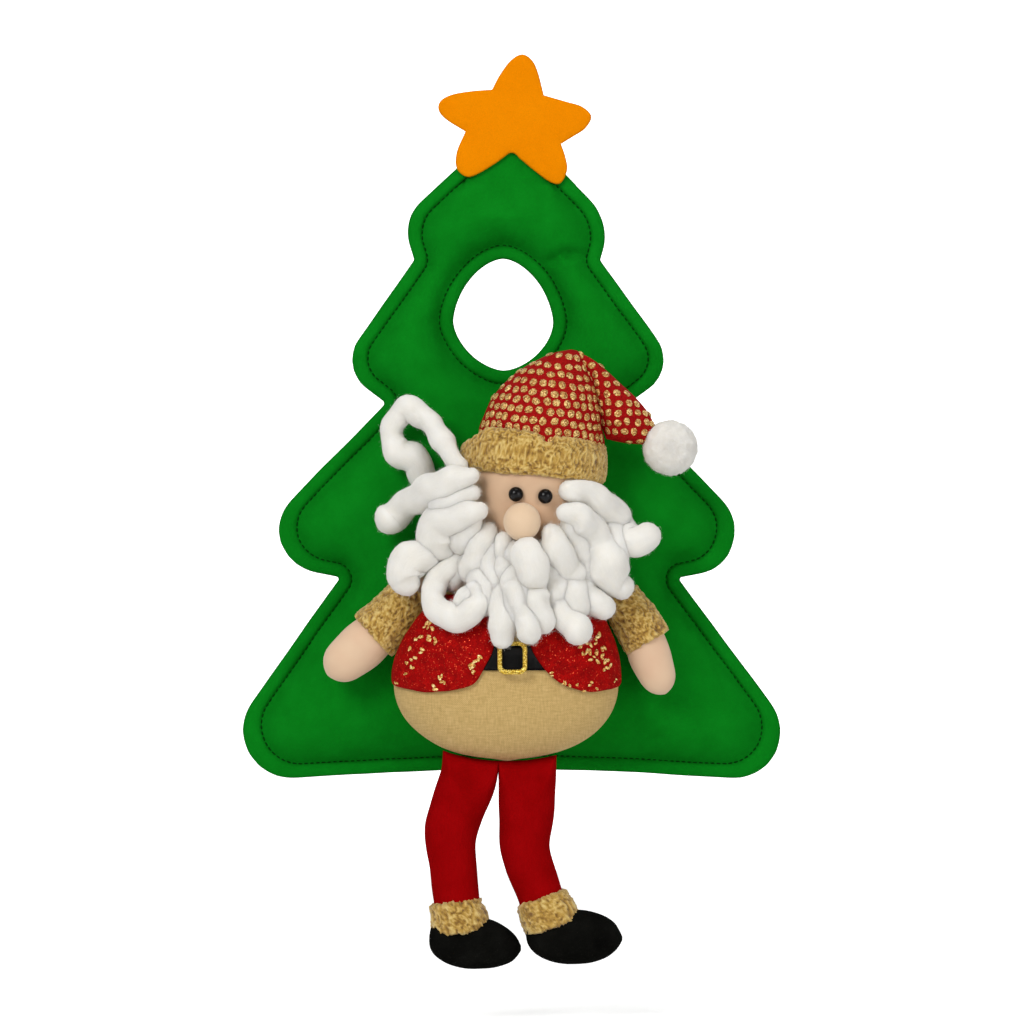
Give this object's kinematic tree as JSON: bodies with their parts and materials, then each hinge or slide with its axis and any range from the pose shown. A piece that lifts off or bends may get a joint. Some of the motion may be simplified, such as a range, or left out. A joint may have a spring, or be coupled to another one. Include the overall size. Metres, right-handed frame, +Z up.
{
  "type": "christmas door hanger",
  "caption": "Stuffed felt Christmas tree with an egg-shaped knob hole, a star on top and a soft Father Christmas doll with free-hanging legs, hung over a door knob.",
  "frame": {"origin": "top middle of the knob hole, in the plane of the tree's flat back", "axes": "+Z up along the tree, front faces -Y, +Y out of the flat back towards the door, +X to the viewer's right"},
  "size_m": [0.2964, 0.0994, 0.5078],
  "materials": {
    "felt_green": "matte felt",
    "fill_white": "loose fibre filling",
    "thread_green": "matte sewing thread",
    "felt_orange": "flocked craft foam felt",
    "burlap": "open plain weave",
    "belt_vinyl": "black vinyl",
    "buckle_gold": "gold glitter",
    "vest_cloth": "red glitter cloth with gold sprigs",
    "skin_cloth": "smooth knit",
    "bead_black": "polished bead",
    "hat_cloth": "red cloth with gold dots",
    "fur_gold": "crushed gold fur",
    "wool_white": "loose wool roving",
    "felt_red": "brushed red cloth",
    "felt_black": "matte black felt"
  },
  "bodies": {
    "tree_and_doll": {"tree_back_felt": "felt_green", "tree_front_felt": "felt_green", "tree_stuffing": "fill_white", "tree_edge_stitching": "thread_green", "knob_hole_stitching": "thread_green", "star": "felt_orange", "torso_cover": "burlap", "torso_stuffing": "fill_white", "belt": "belt_vinyl", "belt_buckle": "buckle_gold", "vest_left_panel": "vest_cloth", "vest_right_panel": "vest_cloth", "head": "skin_cloth", "nose": "skin_cloth", "eye_left": "bead_black", "eye_right": "bead_black", "hat_crown": "hat_cloth", "hat_fur_band": "fur_gold", "beard_loop_upper_left": "wool_white", "beard_lock_left_ear": "wool_white", "beard_lock_left_low": "wool_white", "beard_lock_left_cheek": "wool_white", "beard_curl_left": "wool_white", "beard_moustache_left": "wool_white", "beard_lock_middle_left": "wool_white", "beard_lock_right_ear": "wool_white", "beard_lock_right_cheek": "wool_white", "beard_lock_middle_right": "wool_white", "beard_moustache_right": "wool_white", "beard_lock_right_low": "wool_white", "beard_lock_chin": "wool_white", "beard_lock_chin_low": "wool_white"},
    "left_arm": {"arm_left": "skin_cloth", "sleeve_left": "fur_gold"},
    "right_arm": {"arm_right": "skin_cloth", "sleeve_right": "fur_gold"},
    "left_leg": {"leg_left": "felt_red", "shoe_left": "felt_black", "shoe_cuff_left": "fur_gold"},
    "right_leg": {"leg_right": "felt_red", "shoe_right": "felt_black", "shoe_cuff_right": "fur_gold"},
    "hat_end": {"hat_tail": "hat_cloth", "pompom": "wool_white"}
  },
  "joints": [
    {"name": "left_shoulder", "type": "hinge", "parent": "tree_and_doll", "child": "left_arm", "pos_m": [-0.04815, -0.0443, -0.1831], "axis": [0, 1, 0], "range_deg": [0, 70]},
    {"name": "right_shoulder", "type": "hinge", "parent": "tree_and_doll", "child": "right_arm", "pos_m": [0.06108, -0.0443, -0.1864], "axis": [0, -1, 0], "range_deg": [0, 70]},
    {"name": "left_hip", "type": "hinge", "parent": "tree_and_doll", "child": "left_leg", "pos_m": [-0.01895, -0.0503, -0.2783], "axis": [-1, 0, 0], "range_deg": [-15, 70]},
    {"name": "right_hip", "type": "hinge", "parent": "tree_and_doll", "child": "right_leg", "pos_m": [0.01325, -0.0503, -0.2783], "axis": [-1, 0, 0], "range_deg": [-15, 70]},
    {"name": "hat_fold", "type": "hinge", "parent": "tree_and_doll", "child": "hat_end", "pos_m": [0.04254, -0.0528, -0.05378], "axis": [0, -1, 0], "range_deg": [0, 100]}
  ]
}
